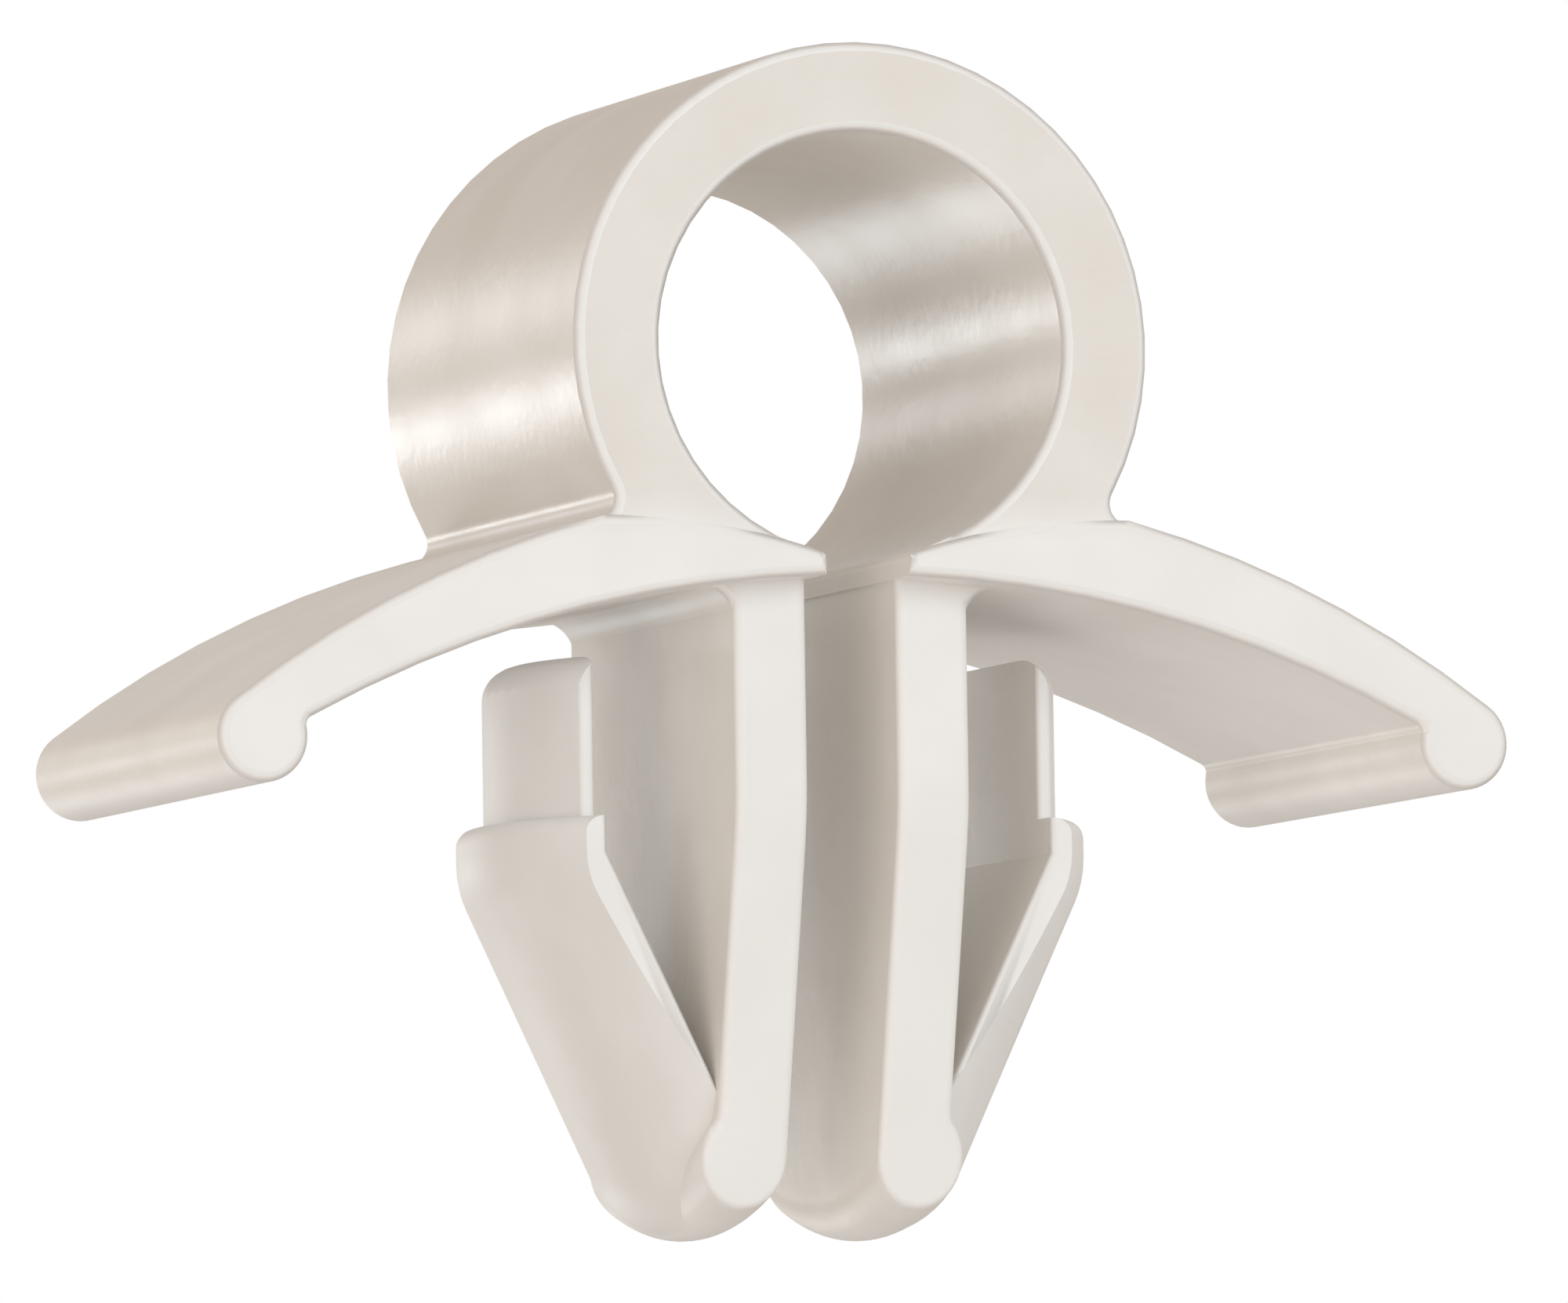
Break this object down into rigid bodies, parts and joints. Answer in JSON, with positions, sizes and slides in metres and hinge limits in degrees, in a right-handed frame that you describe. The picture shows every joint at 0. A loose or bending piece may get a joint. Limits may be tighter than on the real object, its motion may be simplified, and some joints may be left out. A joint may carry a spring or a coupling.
{
  "type": "wire routing clip",
  "caption": "One-piece nylon clip with a ring for a wire bundle, sprung wings and a split, barbed shank that snaps into a round hole in a panel.",
  "frame": {"origin": "centre of the panel hole, at the level of the barbs' shoulders, which is the far face of the panel", "axes": "+Z along the hole's axis, up out of the panel towards the ring; +Y along the wires; X across the wings"},
  "size_m": [0.0142, 0.0066, 0.0125],
  "materials": {
    "natural_nylon": "satin, as moulded, slightly translucent off-white"
  },
  "bodies": {
    "root": {"routing_clip": "natural_nylon"}
  },
  "joints": []
}
